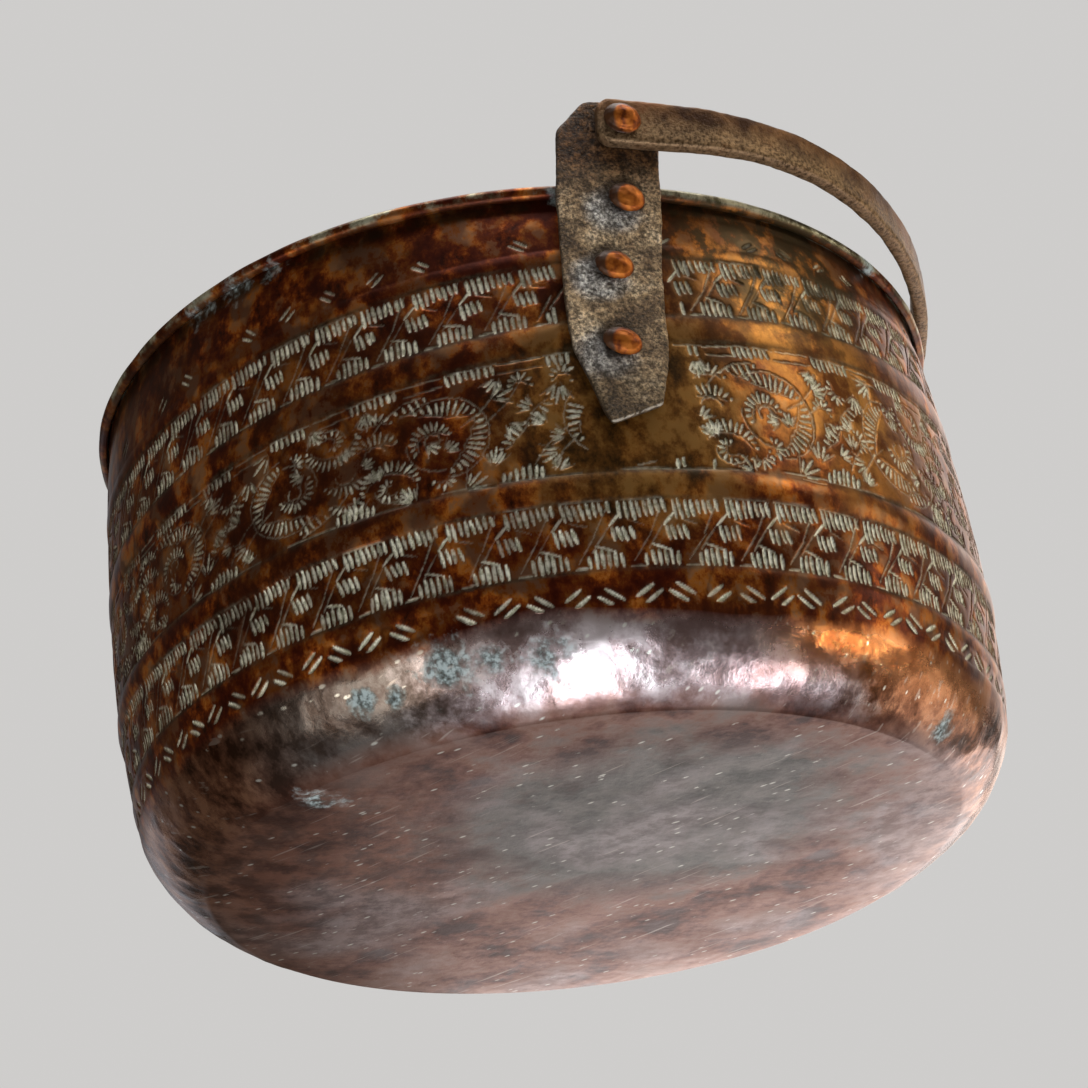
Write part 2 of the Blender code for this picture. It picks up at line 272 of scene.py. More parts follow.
def arc_point(centre_s, centre_z, radius, degrees):
    """A point at a radius and an angle about a centre."""
    angle = math.radians(degrees)
    return centre_s + radius * math.cos(angle), centre_z + radius * math.sin(angle)


def traced_arc(wall, s, z, radii, degrees, tone=0.5):
    """A thin arc whose radius runs from radii[0] to radii[1]."""
    count = max(3, int(abs(degrees[1] - degrees[0]) / 14))
    points = []
    for i in range(count + 1):
        t = i / count
        radius = radii[0] + (radii[1] - radii[0]) * t
        points.append(arc_point(s, z, radius, degrees[0] + (degrees[1] - degrees[0]) * t))
    thin_line(wall, points, tone)


def crescent(wall, s, z, radii, degrees, length):
    """Radial marks along an arc, longest in the middle, with a traced line along their inner ends."""
    sweep = math.radians(abs(degrees[1] - degrees[0]))
    count = max(3, int(sweep * sum(radii) / 2 / 1.72))
    inner = []
    for i in range(count):
        t = i / (count - 1)
        angle = degrees[0] + (degrees[1] - degrees[0]) * t
        radius = radii[0] + (radii[1] - radii[0]) * t
        tall = length * (0.3 + 0.7 * math.sin(math.pi * t)) * rng.uniform(0.88, 1.1)
        outer_point, inner_point = arc_point(s, z, radius, angle), arc_point(s, z, radius - tall, angle)
        chisel(wall, *outer_point, *inner_point, 1.0, 0.42, 0.85)
        inner.append(arc_point(s, z, radius - tall - 0.7, angle))
    thin_line(wall, inner, 0.4)


def fan(wall, s, z, lean, reach, marks):
    """A small wedge of marks that spread from a foot, between two traced sides."""
    for i in range(marks):
        t = i / (marks - 1) - 0.5
        start = arc_point(s, z, reach * 0.3, lean + 62 * t)
        end = arc_point(s, z, reach * (1 - 0.5 * abs(t)), lean + 62 * t)
        chisel(wall, *start, *end, 1.0, 0.42, 0.85)
    for side in (-1, 1):
        start, end = arc_point(s, z, 0.8, lean + 40 * side), arc_point(s, z, reach, lean + 42 * side)
        thin_line(wall, [start, end], 0.45)


def scroll(wall, s, z, turn):
    """One scroll of the frieze: a big comma, a small spiral beside it, leaves and fans. It can be turned."""
    way = -1 if turn else 1
    spin = 180 if turn else 0

    def arc(ds, dz, radii, degrees, length=None, tone=0.5):
        """A crescent with marks of some length, or else a traced arc."""
        angles = (degrees[0] + spin, degrees[1] + spin)
        if length is None:
            traced_arc(wall, s + way * ds, z + way * dz, radii, angles, tone)
        else:
            crescent(wall, s + way * ds, z + way * dz, radii, angles, length)

    arc(0, 0, (12.9, 12.2), (118, 36), 4.2)
    arc(0, 0, (12.6, 11.2), (28, -78), 4.2)
    arc(0, 0, (13.8, 12.6), (125, -84))
    arc(-1.0, 0, (9.6, 8.4), (-80, -190))
    arc(-2.4, 0.9, (6.4, 5.4), (215, 10), 2.9)
    arc(-2.0, 0.6, (2.6, 1.6), (230, -60), None, 0.7)
    arc(-1.5, -3.5, (20.6, 19.6), (146, 96), None, 0.6)
    arc(-1.5, -3.5, (19.4, 18.8), (120, 94), 3.2)
    arc(-17.5, 9.4, (5.8, 5.4), (165, 15), 2.8)
    arc(-18.0, 1.2, (7.6, 7.0), (150, 24), 3.2)
    arc(-18.0, 1.2, (3.4, 3.0), (160, 10))
    arc(-15.0, -10.6, (8.8, 8.0), (172, 2), 3.1)
    arc(-15.5, -11.0, (4.2, 2.8), (330, 70), 1.9)
    arc(-14.5, -10.8, (5.0, 4.2), (180, 330), None, 0.6)
    arc(-7.0, 26.0, (26.5, 27.5), (-62, -24))
    arc(-5.0, 27.5, (30.5, 31.0), (-58, -28))
    arc(26.0, -9.0, (11.5, 10.5), (170, 112), 2.8)
    for ds, dz, lean, reach in (
        (4.5, -17.5, 38, 7.5), (14.5, 9.5, 20, 6.5), (12.5, -12.0, 75, 6.5), (-26.0, -17.0, 88, 6.8),
        (-9.0, -17.6, 120, 5.6), (17.5, 1.0, -50, 5.8), (-27.0, 8.0, -80, 5.4), (17.0, 16.0, -120, 5.0),
    ):
        fan(wall, s + way * ds, z + way * dz, lean + spin, reach * rng.uniform(0.9, 1.1), rng.integers(3, 6))


def frieze_edge(wall, zeta, inwards, units):
    """One edge of the frieze: a traced rule with groups of short marks hanging inside it."""
    pitch = AROUND / units
    for k in range(units):
        s = k * pitch + rng.normal(0, 0.6)
        width = pitch * rng.uniform(0.5, 0.68)
        thin_line(wall, [(s, zeta), (s + width / 2, zeta), (s + width, zeta)], 0.6)
        thin_line(wall, [(s + width, zeta + inwards * 0.5), (s + pitch, zeta + inwards * 0.3)], 0.75)
        thin_line(wall, [(s + width, zeta + inwards * 3.2), (s + pitch, zeta + inwards * 3.1)], 0.5)
        hatch(wall, s + 0.8, zeta + inwards * 0.3, int(width / 1.75), 1.75, lambda t: 2.8, 0.35, inwards)


def frieze_band(wall, low, high, units):
    """Scrolls side by side, every second one turned upside down, between two hatched edges."""
    pitch, middle = AROUND / units, (low + high) / 2
    frieze_edge(wall, high - 0.4, -1, FRIEZE_EDGE_UNITS)
    for k in range(units):
        hatch(wall, k * pitch + 4.0, low + 0.6, 7, 1.7, lambda t: 2.2 + 1.6 * math.sin(3.0 * t), 0.3, 1)
        thin_line(wall, [(k * pitch - 12.0, low + 0.4), (k * pitch + 3.0, low + 0.4)], 0.7)
        thin_line(wall, [(k * pitch + 3.0, low + 0.2), (k * pitch + 24.0, low + 0.2)], 0.4)
        scroll(wall, (k + 0.76) * pitch + rng.normal(0, 0.5), middle - 1.4 + rng.normal(0, 0.3), k % 2 == 1)


def fill_gaps(wall, low, high, tries):
    """Small fans and curls wherever the frieze is still bare."""
    reach = 3.4
    for _ in range(tries):
        s, z, lean = rng.uniform(0, AROUND), rng.uniform(low + 4.5, high - 4.5), rng.uniform(0, 360)
        level = z + tilt_lift(s, z)
        rows = slice(*np.searchsorted(wall.heights, (level - reach, level + reach)))
        columns = np.arange(int((s - reach) / wall.step), int((s + reach) / wall.step)) % COLUMNS
        if wall.pale[rows][:, columns].mean() > 0.035:
            continue
        if rng.random() < 0.35:
            fan(wall, *arc_point(s, z, -2.5, lean), lean, 4.8, 4)
        else:
            crescent(wall, s, z, (3.6, 3.0), (lean, lean + 210), 2.2)


def chase_ornament(heights):
    """All the marks on the outer wall."""
    wall = ChasedWall(heights)
    braid_band(wall, *LOWER_BRAID, BRAID_UNITS)
    braid_band(wall, *UPPER_BRAID, BRAID_UNITS)
    zigzag_row(wall, ZIGZAG_HEIGHT, units=44, size=1.0, keep=0.98)
    zigzag_row(wall, SPARSE_HEIGHT, units=30, size=0.72, keep=0.72)
    frieze_band(wall, *FRIEZE, FRIEZE_UNITS)
    fill_gaps(wall, *FRIEZE, tries=1500)
    return wall


def blurred(field, passes):
    """A soft copy of a grid that closes on itself along its columns."""
    out = field.astype(np.float32)
    for _ in range(passes):
        out = (np.roll(out, 1, 1) + np.roll(out, -1, 1) + 2 * out) / 4
        padded = np.pad(out, ((1, 1), (0, 0)), mode="edge")
        out = (padded[:-2] + padded[2:] + 2 * out) / 4
    return out


# -------- vessel


def wobble(azimuth, height):
    """How far the raised wall is out of round. It dies away at the ears and the base."""
    beside_ear = 1 - np.exp(-((np.sin(azimuth) / 0.34) ** 2))
    swell = 0.5 * np.sin(2 * azimuth + 0.7) + 0.4 * np.sin(3 * azimuth + 2.0) + 0.2 * np.sin(7 * azimuth)
    return swell * beside_ear * smooth(8.0, 60.0, height)


def leaning_points(radius, azimuth, height):
    """Places in metres on the leaning vessel, from millimetres."""
    x = radius * np.sin(azimuth) + LEAN * height
    return np.stack([x, -radius * np.cos(azimuth), height], 2) * MM


def ridges(s, height):
    """The plain bands between the ornament stand proud as rounded ridges."""
    proud = np.zeros(np.broadcast(s, height).shape)
    for low, high, rise in RIDGES:
        across = np.clip((height - tilt_lift(s, (low + high) / 2) - low) / (high - low), 0, 1)
        proud = proud + rise * np.sin(math.pi * across) ** 0.8
    return proud


def seam_shade(s, height):
    """Painted shade: thin dark lines along the ridges, here more and there less."""
    dirt_and_shade = np.zeros(np.broadcast(s, height).shape)
    uneven = 0.55 + 0.45 * value_noise(s / AROUND * 60, height / 40.0, 60, SEED + 10)
    for zeta, width in SEAM_SHADES:
        dirt_and_shade = dirt_and_shade + uneven * np.exp(-(((height - tilt_lift(s, zeta) - zeta) / width) ** 2))
    return dirt_and_shade


def ring_rows():
    """The vessel's rings in order as (radius, height, kind), from the outer base to the inner base."""
    base = np.concatenate([np.linspace(5, 104, 24), (106.5, 108.6, 109.7)])
    rows = [(radius, 0.0, "base") for radius in base]
    rows += [(radius, height, "heel") for radius, height in HEEL_CURVE]
    wall = np.arange(HEEL_TOP[1] + ROW_STEP, NECK[1], ROW_STEP)
    rows += [(wall_radius(height), height, "wall") for height in wall]
    rows += [(NECK[0], 145.5, "neck"), (NECK[0], 147.4, "neck")]
    rows += roll_points(ROLL_RADIUS, 180, ROLL_END_DEG, 9, "hidden")
    rows += roll_points(ROLL_RADIUS + SHEET, ROLL_END_DEG, 180, 20, "bead")
    rows += [(wall_radius(h) - SHEET, h, "inside") for h in np.linspace(146.5, HEEL_TOP[1], 70)]
    for radius, height in HEEL_CURVE[::-3][1:]:
        slope = (height - SHEET * 0.5) / 24.0
        radius, height = radius - SHEET * (0.35 + 0.65 * slope), height + SHEET * (1 - 0.8 * slope)
        rows.append((radius, height, "inside"))
    return rows + [(radius, SHEET, "inside") for radius in np.linspace(108.5, 5, 18)]


def wall_radius(height):
    """The outer wall's radius at a height."""
    return np.interp(height, WALL_CURVE[:, 1], WALL_CURVE[:, 0])


def roll_points(radius, first, last, count, kind):
    """Points of an arc about the wire's centre, between two angles in degrees."""
    middle, level = ROLL_CENTRE
    angles = np.radians(np.linspace(first, last, count))
    return [(middle + radius * math.cos(a), level + radius * math.sin(a), kind) for a in angles]


def base_edge_lift(azimuth, radius, height):
    """How far the worn edge of the base is lifted. It is crisp in front and most worn at the sides."""
    front = np.cos(azimuth + math.radians(4))
    worn = 0.7 + 1.1 * smooth(-0.8, -0.25, -front) + 1.6 * np.exp(-((front / 0.5) ** 2))
    rise = np.clip((radius - 78.0) / 34.0, 0, 1) ** 2
    fall = (1 - np.clip((radius - BASE_EDGE[0]) / 14.0, 0, 1)) ** 1.5
    return worn * rise * fall * (height < HEEL_TOP[1])


def row_normals(points):
    """Unit normals of the profile in the (radius, height) plane, pointing out of the sheet."""
    tangent = np.gradient(points, axis=0)
    normal = np.stack([tangent[:, 1], -tangent[:, 0]], 1)
    return normal / np.maximum(np.linalg.norm(normal, axis=1, keepdims=True), 1e-9)


def lift_of_rows(points, kinds, azimuth):
    """Hand work on every ring and column, in millimetres along the normal, and the paint masks."""
    count = len(points)
    radius, height = points[:, :1], points[:, 1:]
    s = azimuth[None, :] * WALL_MEAN_RADIUS
    turns = s / AROUND
    lift = np.zeros((count, COLUMNS), np.float32)
    pale, grime_and_shade = np.zeros_like(lift), np.zeros_like(lift)
    wall = kinds == "wall"
    heel, base, inside, bead = (kinds == k for k in ("heel", "base", "inside", "bead"))

    chased = chase_ornament(points[wall, 1])
    ground = blurred(chased.cut, 9)
    planished = hammer_marks(turns * 84, height[wall] / 10.5 + 40, 84, SEED + 1)
    lift[wall] = -0.85 * chased.cut - 0.65 * ground + 0.16 * planished + ridges(s, height[wall])
    lift[wall] += 0.14 * value_noise(turns * 40, height[wall] / 16.0, 40, SEED + 2)
    pale[wall] = chased.pale
    # Dark ground: dirt round the marks, and painted shade in the seams along the ridges
    grime_and_shade[wall] = np.clip(blurred(chased.pale, 4) * 1.5 + seam_shade(s, height[wall]), 0, 1)

    along = np.linspace(0, 1, heel.sum())[:, None]
    marks = hammer_marks(turns * 46, along * 2.6 + 7, 46, SEED + 3)
    fine = value_noise(turns * 150, along * 9.0 + 3, 150, SEED + 4)
    small = hammer_marks(turns * 110, along * 5.5 + 30, 110, SEED + 9)
    calm = smooth(0, 0.12, along) * (0.25 + 0.75 * smooth(0.15, 0.45, 1.0 - along))
    calm = calm * smooth(0, 0.15, 1.02 - along)
    lift[heel] = (0.42 * marks + 0.15 * small + 0.05 * fine) * calm

    x, y = radius[base] * np.sin(azimuth)[None, :], radius[base] * np.cos(azimuth)[None, :]
    flat = 0.3 * hammer_marks(x / 17 + 50, y / 17 + 50, 128, SEED + 5)
    flat += 0.16 * value_noise(x / 30 + 50, y / 30 + 50, 128, SEED + 6)
    lift[base] = -flat * smooth(0, 14.0, BASE_EDGE[0] - radius[base])

    inner = hammer_marks(turns * 60, height[inside] / 12.0 + 20, 60, SEED + 7)
    lift[inside] = 0.14 * inner * smooth(60, 100, radius[inside])
    lift[bead] = 0.1 * value_noise(turns * 90, np.zeros((bead.sum(), 1)) + 4, 90, SEED + 8) - 0.12
    return lift, pale, grime_and_shade


def ring_faces(offsets, sizes):
    """Faces between neighbouring rings. Where a fine ring meets a coarse one, nine-sided faces."""
    faces = []
    for (a, n), (b, m) in zip(zip(offsets, sizes), zip(offsets[1:], sizes[1:])):
        if n == m:
            i = np.arange(n)
            j = (i + 1) % n
            faces += np.stack([a + i, a + j, b + j, b + i], 1).tolist()
        elif n > m:
            for k in range(m):
                fine = [a + (COARSE * k + q) % n for q in range(COARSE + 1)]
                faces.append(fine + [b + (k + 1) % m, b + k])
        else:
            for k in range(n):
                fine = [b + (COARSE * k + q) % m for q in range(COARSE, -1, -1)]
                faces.append([a + k, a + (k + 1) % n] + fine)
    return faces


def build_vessel_skin():
    """The vessel as one closed skin: chased outside, hammered heel and base, tinned inside."""
    rows = ring_rows()
    kinds = np.array([kind for _, _, kind in rows])
    points = np.array([(radius, height) for radius, height, _ in rows])
    azimuth = np.arange(COLUMNS) / COLUMNS * 2 * math.pi
    normals = row_normals(points)
    lift, pale, grime_and_shade = lift_of_rows(points, kinds, azimuth)
    out = wobble(azimuth[None, :], points[:, 1:])
    radius = points[:, :1] + out + lift * normals[:, :1]
    height = points[:, 1:] + lift * normals[:, 1:]
    height += base_edge_lift(azimuth[None, :], points[:, :1], points[:, 1:])
    grid = leaning_points(radius, azimuth[None, :], height)

    fine_rows = (kinds == "wall") | (kinds == "neck") | (kinds == "heel")
    steps = np.where(fine_rows, 1, COARSE)
    positions = [grid[i, ::steps[i]] for i in range(len(rows))]
    sizes = [len(p) for p in positions]
    offsets = np.concatenate([[0], np.cumsum(sizes)])[:-1].tolist()
    faces = ring_faces(offsets, sizes)
    total = sum(sizes)
    poles = np.array([[0, 0, 0.0], [LEAN * SHEET, 0, SHEET]]) * MM
    last = offsets[-1]
    faces += [[total, (i + 1) % sizes[0], i] for i in range(sizes[0])]
    faces += [[total + 1, last + i, last + (i + 1) % sizes[-1]] for i in range(sizes[-1])]

    mesh = bpy.data.meshes.new("vessel_skin")
    mesh.from_pydata(np.concatenate([*positions, poles]).tolist(), [], faces)
    mesh.update()
    for name, field in (("pale", pale), ("grime_and_shade", grime_and_shade)):
        values = np.concatenate([field[i, ::steps[i]] for i in range(len(rows))] + [np.zeros(2)])
        add_attribute(mesh, name, values)
    starts = np.array(offsets)[kinds == "inside"]
    tinned = [len(f) > 0 and min(f) >= starts[0] for f in faces]
    mesh.polygons.foreach_set("material_index", np.array(tinned, np.int32))
    mesh.polygons.foreach_set("use_smooth", np.ones(len(faces), bool))
    mesh.update()
    return add_to_scene(mesh)


def build_wire_ring():
    """The wire inside the roll, which follows the leaning rim."""
    columns, sides = 360, 10
    azimuth = np.arange(columns) / columns * 2 * math.pi
    around = np.arange(sides) / sides * 2 * math.pi
    radius = ROLL_CENTRE[0] + wobble(azimuth, np.full(columns, ROLL_CENTRE[1]))
    ring = radius[:, None] + WIRE_RADIUS * np.cos(around)
    height = ROLL_CENTRE[1] + WIRE_RADIUS * np.sin(around) + np.zeros((columns, 1))
    points = leaning_points(ring, azimuth[:, None], height).reshape(-1, 3)
    faces = []
    for i in range(columns):
        this, following = i * sides, (i + 1) % columns * sides
        for j in range(sides):
            up = (j + 1) % sides
            faces.append((this + j, following + j, following + up, this + up))
    mesh = bpy.data.meshes.new("rim_wire_ring")
    mesh.from_pydata(points.tolist(), [], faces)
    mesh.shade_smooth()
    return add_to_scene(mesh)


# -------- forged and riveted pieces


def remeshed_copy(node, name, voxel, soften):
    """A fine, even copy of a CAD node to work on, its edges rounded by a number of smoothing steps."""
    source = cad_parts[node]
    mesh = source.data.copy()
    mesh.transform(source.matrix_world)
    mesh.materials.clear()
    mesh.name = name
    piece = add_to_scene(mesh)
    remesh = piece.modifiers.new("Even", "REMESH")
    remesh.mode = "VOXEL"
    remesh.voxel_size = voxel
    round_off = piece.modifiers.new("Round", "SMOOTH")
    round_off.factor = 0.5
    round_off.iterations = soften
    fine = bpy.data.meshes.new_from_object(piece.evaluated_get(bpy.context.evaluated_depsgraph_get()))
    fine.name = name
    piece.modifiers.clear()
    piece.data = fine
    bpy.data.meshes.remove(mesh)
    fine.shade_smooth()
    return piece


def vertex_arrays(mesh):
    """Vertex positions and normals as arrays."""
    count = len(mesh.vertices)
    points, normals = np.empty(count * 3, np.float32), np.empty(count * 3, np.float32)
    mesh.vertices.foreach_get("co", points)
    mesh.vertices.foreach_get("normal", normals)
    return points.reshape(-1, 3).astype(float), normals.reshape(-1, 3).astype(float)


def set_points(mesh, points):
    """Writes vertex positions back."""
    mesh.vertices.foreach_set("co", points.astype(np.float32).ravel())
    mesh.update()


def noise_at(points, size, shift=0.0):
    """Blender's noise at each point, for features about size metres across."""
    return np.array([noise.noise(Vector(p) / size + Vector((shift, shift, shift))) for p in points])


def flat_under_the_bail(points, rise):
    """Around the pivots, where the bail passes over the ears, the surface only sinks and never rises."""
    pivot = np.mean(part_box("front_pivot_rivet"), axis=0)
    apart = np.hypot(points[:, 0] - pivot[0], points[:, 2] - pivot[2])
    return rise - smooth(0.024, 0.019, apart) * np.maximum(rise, 0)


def build_ear(end):
    """A forged strap: sandy pitted faces, uneven edges and a lower edge bent slightly outwards."""
    piece = remeshed_copy(end + "_ear", end + "_ear_strap", voxel=0.00042, soften=60)
    side = -1 if end == "front" else 1
    low, high = (np.array(c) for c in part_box(end + "_ear"))
    points, normals = vertex_arrays(piece.data)
    outward = np.clip(side * normals[:, 1], -1, 1)
    edge = 1 - np.abs(outward)
    pits = noise_at(points, 0.0012) + 0.6 * noise_at(points, 0.0027, 7.0)
    swell = noise_at(points, 0.013, 3.0)
    outer = smooth(-0.2, 0.3, outward)
    rise = outer * (0.00017 * pits + 0.00028 * swell)
    rise = flat_under_the_bail(points, rise)
    points += normals * rise[:, None]
    points[:, 0] += edge * 0.0006 * noise_at(points, 0.01, 5.0)
    above_foot = (points[:, 2] - low[2]) / MM
    points[:, 1] += side * 0.0011 * np.exp(-above_foot / 3.0)
    set_points(piece.data, points)
    # Painted shade: the strap's edges are darkened, most where they face left
    dark = smooth(0.22, 0.7, edge) * (0.45 - 0.45 * np.clip(2 * normals[:, 0], -1, 1))
    rub_and_sheen = np.zeros(len(points))
    for key in ("top", "middle", "bottom"):
        centre = np.mean(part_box(f"{end}_{key}_rivet"), axis=0)
        aside, above = points[:, 0] - centre[0], points[:, 2] - centre[2]
        # Painted shadow: a dark ring round each rivet, set off to its upper left
        dark = np.maximum(dark, smooth(0.0074, 0.0046, np.hypot(aside + 0.0012, above - 0.0012)))
        # Below and left of each rivet: rubbed metal with a painted cool sheen
        lower_left = np.hypot(0.9 * (aside + 0.0046), above + 0.004)
        rub_and_sheen = np.maximum(rub_and_sheen, smooth(0.01, 0.003, lower_left))
    add_attribute(piece.data, "dark", dark)
    add_attribute(piece.data, "rub_and_sheen", rub_and_sheen)
    # Where the paint puts a highlight: the lower edge that is bent outwards
    add_attribute(piece.data, "lip_highlight", smooth(0.35, 0.6, -normals[:, 2]) * smooth(0.1, 0.35, outward))
    add_attribute(piece.data, "height", (points[:, 2] - low[2]) / (high[2] - low[2]))
    return piece


def build_rivet(node, seed):
    """A hammered copper rivet: its dome is knocked into flats and is not quite round."""
    piece = remeshed_copy(node, node + "_hammered", voxel=0.0003, soften=3)
    side = -1 if node.startswith("front") else 1
    low, high = (np.array(c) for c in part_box(node))
    centre = (low + high) / 2
    head_top = max(side * low[1], side * high[1])
    draw = np.random.default_rng(seed)
    points, _ = vertex_arrays(piece.data)
    x, z = points[:, 0] - centre[0], points[:, 2] - centre[2]
    out = side * points[:, 1] - (head_top - DOME_HEIGHT)
    head = smooth(0.0, 0.0008, out)
    stretch_x, stretch_z = draw.uniform(0.92, 1.02), draw.uniform(0.68, 0.8)
    turn = draw.uniform(-0.55, -0.25)
    cosine, sine = math.cos(turn), math.sin(turn)
    wide, tall = x * cosine + z * sine, -x * sine + z * cosine
    wide, tall = wide * (1 + (stretch_x - 1) * head), tall * (1 + (stretch_z - 1) * head)
    shaped = np.stack([wide * cosine - tall * sine, out, wide * sine + tall * cosine], 1)
    for _ in range(HAMMER_BLOWS):
        around, steep = draw.uniform(0, 2 * math.pi), draw.uniform(0.35, 1.15)
        across = math.sin(steep)
        flat = np.array([across * math.cos(around), math.cos(steep), across * math.sin(around)])
        reach = DOME_HEIGHT * math.cos(steep) + DOME_REACH * across * draw.uniform(0.88, 1.05)
        over = np.maximum(shaped @ flat - reach * 0.94, 0) * head
        shaped -= over[:, None] * flat * 0.9
    x, out, z = shaped.T
    out = out + noise_at(points, 0.0021, seed) * 0.00016 * head
    out = side * (out + head_top - DOME_HEIGHT)
    set_points(piece.data, np.stack([x + centre[0], out, z + centre[2]], 1))
    # Where the paint darkens the head: towards its edge, most on its upper left, as painted shade
    spread = np.hypot(x - 0.001, z + 0.0008) / DOME_SPREAD
    add_attribute(piece.data, "rim", smooth(0.66, 1.0, spread))
    return piece


def build_bail():
    """The forged bail: a strip with a slightly uneven face and worn edges."""
    piece = remeshed_copy("bail", "bail_strip", voxel=0.00055, soften=8)
    dip = math.radians(BAIL_REST_DIP)
    up = np.array([math.sin(dip), 0, math.cos(dip)])
    pivot_height = np.mean(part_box("front_pivot_rivet"), axis=0)[2]
    points, normals = vertex_arrays(piece.data)
    edge = np.abs(normals @ up)
    across = (points - np.array([0, 0, pivot_height])) @ up / BAIL_HALF_WIDTH
    blows = noise_at(points, 0.012, 2.0)
    skin = noise_at(points, 0.0024, 9.0)
    rise = 0.00026 * blows + 0.00008 * skin
    rise = flat_under_the_bail(points, rise)
    points += normals * rise[:, None]
    set_points(piece.data, points)
    # The narrow edges, which the paint makes lighter: wear and a painted highlight
    add_attribute(piece.data, "edge", smooth(0.45, 0.85, edge))
    # Across the strip: the paint makes its lower half lighter, as painted light from below
    add_attribute(piece.data, "across", 0.5 - 0.5 * across)
    return piece


# -------- nodes


class Value:
    """What nodes work out for each point: a number, a colour or a place. Arithmetic adds nodes."""

    def __init__(self, tree, socket):
        self.tree = tree
        self.socket = socket

    def maths(self, operation, first, second):
        """One step of arithmetic."""
        return new_value(self.tree, "ShaderNodeMath", {0: first, 1: second}, operation=operation)

    def __add__(self, other):
        return self.maths("ADD", self, other)

    def __mul__(self, other):
        return self.maths("MULTIPLY", self, other)

    def __sub__(self, other):
        return self.maths("SUBTRACT", self, other)

    def __rsub__(self, other):
        return self.maths("SUBTRACT", other, self)

    def __truediv__(self, other):
        return self.maths("DIVIDE", self, other)

    def __or__(self, other):
        """The greater of the two."""
        return self.maths("MAXIMUM", self, other)

    def __abs__(self):
        return self.maths("ABSOLUTE", self, 0.0)

    __radd__ = __add__
    __rmul__ = __mul__

    def clamped(self):
        """Keeps the last step of arithmetic between 0 and 1."""
        self.socket.node.use_clamp = True
        return self

    def band(self, low, high):
        """0 below low and 1 above high, straight between."""
        inputs = {"Value": self, "From Min": low, "From Max": high}
        return new_value(self.tree, "ShaderNodeMapRange", inputs)

    def ramp(self, *stops):
        """A colour through (position, colour) stops."""
        node = add_node(self.tree, "ShaderNodeValToRGB", {"Fac": self})
        elements = node.color_ramp.elements
        while len(elements) < len(stops):
            elements.new(0.5)
        for element, (position, colour) in zip(elements, stops):
            element.position = position
            element.color = (*colour, 1.0)
        return Value(self.tree, node.outputs["Color"])


def fill_socket(tree, socket, value):
    """Links a value to a socket, or sets the socket to a plain number or colour."""
    if isinstance(value, Value):
        tree.links.new(value.socket, socket)
    elif socket.type == "RGBA":
        socket.default_value = (*value, 1.0)
    else:
        socket.default_value = value


def add_node(tree, kind, inputs, **settings):
    """Adds a node with its settings and its inputs."""
    node = tree.nodes.new(kind)
    for key, value in settings.items():
        setattr(node, key, value)
    for key, value in inputs.items():
        fill_socket(tree, node.inputs[key], value)
    return node


def new_value(tree, kind, inputs, output=0, **settings):
    """Adds a node and gives one of its outputs."""
    return Value(tree, add_node(tree, kind, inputs, **settings).outputs[output])


def mix(factor, first, second, mode="MIX"):
    """Mixes two colours. The factor, or else the second colour, is a value."""
    tree = next(part.tree for part in (factor, second) if isinstance(part, Value))
    inputs = {0: factor, 6: first, 7: second}
    return new_value(tree, "ShaderNodeMix", inputs, 2, data_type="RGBA", blend_type=mode)


def bump(height, strength, distance, below=None):
    """A bump from a grey value, over another bump if there is one."""
    inputs = {"Height": height, "Strength": strength, "Distance": distance}
    if below is not None:
        inputs["Normal"] = below
    return new_value(height.tree, "ShaderNodeBump", inputs)


class Paint:
    """A node material in the making."""

    def __init__(self, name):
        self.material = bpy.data.materials.new(name)
        self.material.use_nodes = True
        self.tree = self.material.node_tree
        self.place = new_value(self.tree, "ShaderNodeTexCoord", {}, "Object")
        self.height = new_value(self.tree, "ShaderNodeSeparateXYZ", {"Vector": self.place}, "Z")
        self.even = self.space()

    def space(self, scale=(1, 1, 1), turn=0.0):
        """Object coordinates, turned about Z by some degrees and then stretched by scale."""
        inputs = {"Vector": self.place, "Rotation": (0, 0, math.radians(turn))}
        turned = new_value(self.tree, "ShaderNodeMapping", inputs)
        return new_value(self.tree, "ShaderNodeMapping", {"Vector": turned, "Scale": scale})

    def noise(self, scale, detail=4.0, roughness=0.6, distortion=0.0, space=None):
        """A noise texture's grey value."""
        return new_value(self.tree, "ShaderNodeTexNoise", {
            "Vector": space or self.even, "Scale": scale, "Detail": detail, "Roughness": roughness,
            "Distortion": distortion,
        }, "Fac")

    def cells(self, scale, space):
        """The distance from the nearest of many scattered points."""
        inputs = {"Vector": space, "Scale": scale}
        return new_value(self.tree, "ShaderNodeTexVoronoi", inputs, "Distance")

    def attribute(self, name):
        """A vertex attribute's value."""
        return new_value(self.tree, "ShaderNodeAttribute", {}, "Fac", attribute_name=name)

    def spot(self, azimuth, height, size, radius=0.128):
        """1 in the middle of a soft round spot and 0 outside it. Sizes are in metres."""
        angle = math.radians(azimuth)
        centre = (radius * math.sin(angle), -radius * math.cos(angle), height)
        inputs = {0: self.place, 1: centre}
        apart = new_value(self.tree, "ShaderNodeVectorMath", inputs, "Value", operation="DISTANCE")
        return (1.0 - apart / size).clamped()

    def finish(self, **sockets):
        """Fills the shader's inputs, named with _ for spaces, and gives the material."""
        shader = self.tree.nodes["Principled BSDF"]
        for key, value in sockets.items():
            fill_socket(self.tree, shader.inputs[key.replace("_", " ")], value)
        return self.material


# -------- copper


